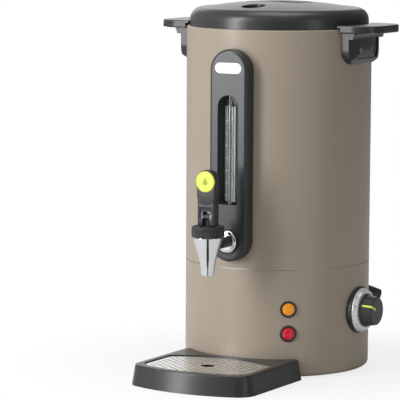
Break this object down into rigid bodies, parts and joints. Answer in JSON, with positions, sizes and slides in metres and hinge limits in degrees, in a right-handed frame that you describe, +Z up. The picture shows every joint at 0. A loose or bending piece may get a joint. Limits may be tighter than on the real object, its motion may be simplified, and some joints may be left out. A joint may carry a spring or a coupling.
{
  "type": "hot water urn",
  "caption": "Double-walled hot water urn with lift-off lid, side handles, sight gauge, sprung lever tap, thermostat knob and pull-out drip tray.",
  "frame": {"origin": "on the floor, on the axis of the urn's body", "axes": "+Z up along the body's axis, the tap faces -Y, the thermostat knob is on +X"},
  "size_m": [0.3088, 0.3605, 0.4602],
  "materials": {
    "painted_jacket": "satin powder coat, warm grey",
    "stainless": "brushed",
    "zinc_steel": "zinc plated",
    "black_plastic": "moulded, fine texture",
    "white_plate": "blank",
    "clear_glass": "clear",
    "silicone": "translucent white",
    "black_rubber": "matt",
    "chrome": "polished",
    "lime": "plain",
    "brass": "machined",
    "amber_lens": "clear tinted",
    "red_lens": "clear tinted",
    "dial_silver": "satin",
    "aluminium_plate": "rolled",
    "white_plastic": "moulded",
    "wire": "insulated"
  },
  "bodies": {
    "urn": {"base_nuts": "zinc_steel", "base_plate": "zinc_steel", "base_screws": "zinc_steel", "base_shell": "painted_jacket", "bulb_clip": "zinc_steel", "capillary": "brass", "cord_gland": "black_plastic", "dial_bezel": "black_plastic", "dial_ring": "dial_silver", "feet": "black_rubber", "flange_gasket": "black_rubber", "gauge_block": "brass", "gauge_panel": "black_plastic", "gland_nut": "black_plastic", "handle_left": "black_plastic", "handle_nuts": "zinc_steel", "handle_right": "black_plastic", "handle_screws": "zinc_steel", "heater_plate": "aluminium_plate", "heating_element": "stainless", "inner_tank": "stainless", "label_plate": "white_plate", "lamp_bezels": "black_plastic", "lamp_bodies": "white_plastic", "lamp_lens_amber": "amber_lens", "lamp_lens_red": "red_lens", "leads": "wire", "level_scale": "white_plate", "outer_jacket": "painted_jacket", "panel_screws": "zinc_steel", "seam_ring": "zinc_steel", "shank_nut": "brass", "sight_tube": "clear_glass", "tank_seals": "silicone", "tap_collar": "black_plastic", "tap_flange": "chrome", "tap_shank": "black_plastic", "tap_spout": "chrome", "tap_spring": "stainless", "terminal_block": "white_plastic", "thermal_cutout": "white_plastic", "thermostat_body": "white_plastic", "thermostat_bulb": "brass", "tube_cap": "silicone", "tube_seal": "silicone"},
    "lid": {"lid_shell": "black_plastic", "lid_plate": "black_plastic", "lid_screws": "stainless", "lid_gasket": "silicone", "lid_vent_cap": "black_plastic"},
    "lever": {"tap_lever": "black_plastic", "lever_badge": "lime", "lever_pin": "stainless"},
    "stem": {"tap_stem": "stainless", "seat_cup": "silicone"},
    "knob": {"thermostat_knob": "black_plastic", "knob_pointer": "lime", "thermostat_shaft": "brass"},
    "tray": {"drip_tray": "black_plastic"},
    "grille": {"drip_grille": "stainless"}
  },
  "joints": [
    {"name": "lid_lift", "type": "slide", "parent": "urn", "child": "lid", "axis": [0, 0, 1], "range_m": [0, 0.12]},
    {"name": "stem_lift", "type": "slide", "parent": "urn", "child": "stem", "axis": [0, 0, 1], "range_m": [0, 0.0027], "deforming": ["tap_spring"]},
    {"name": "lever_tilt", "type": "hinge", "parent": "stem", "child": "lever", "pos_m": [0, -0.177, 0.2057], "axis": [1, 0, 0], "range_deg": [0, 25], "stiffness_Nm_per_rad": 0.3, "springref_deg": -17.19},
    {"name": "knob_turn", "type": "hinge", "parent": "urn", "child": "knob", "pos_m": [0.126, 0, 0.078], "axis": [1, 0, 0], "range_deg": [0, 270]},
    {"name": "tray_slide", "type": "slide", "parent": "urn", "child": "tray", "axis": [0, -1, 0], "range_m": [0, 0.12]},
    {"name": "grille_lift", "type": "slide", "parent": "tray", "child": "grille", "axis": [0, 0, 1], "range_m": [0, 0.05]}
  ],
  "couplings": [
    {"joint": "stem_lift", "follows": "lever_tilt", "m_per_rad": 0.006}
  ]
}
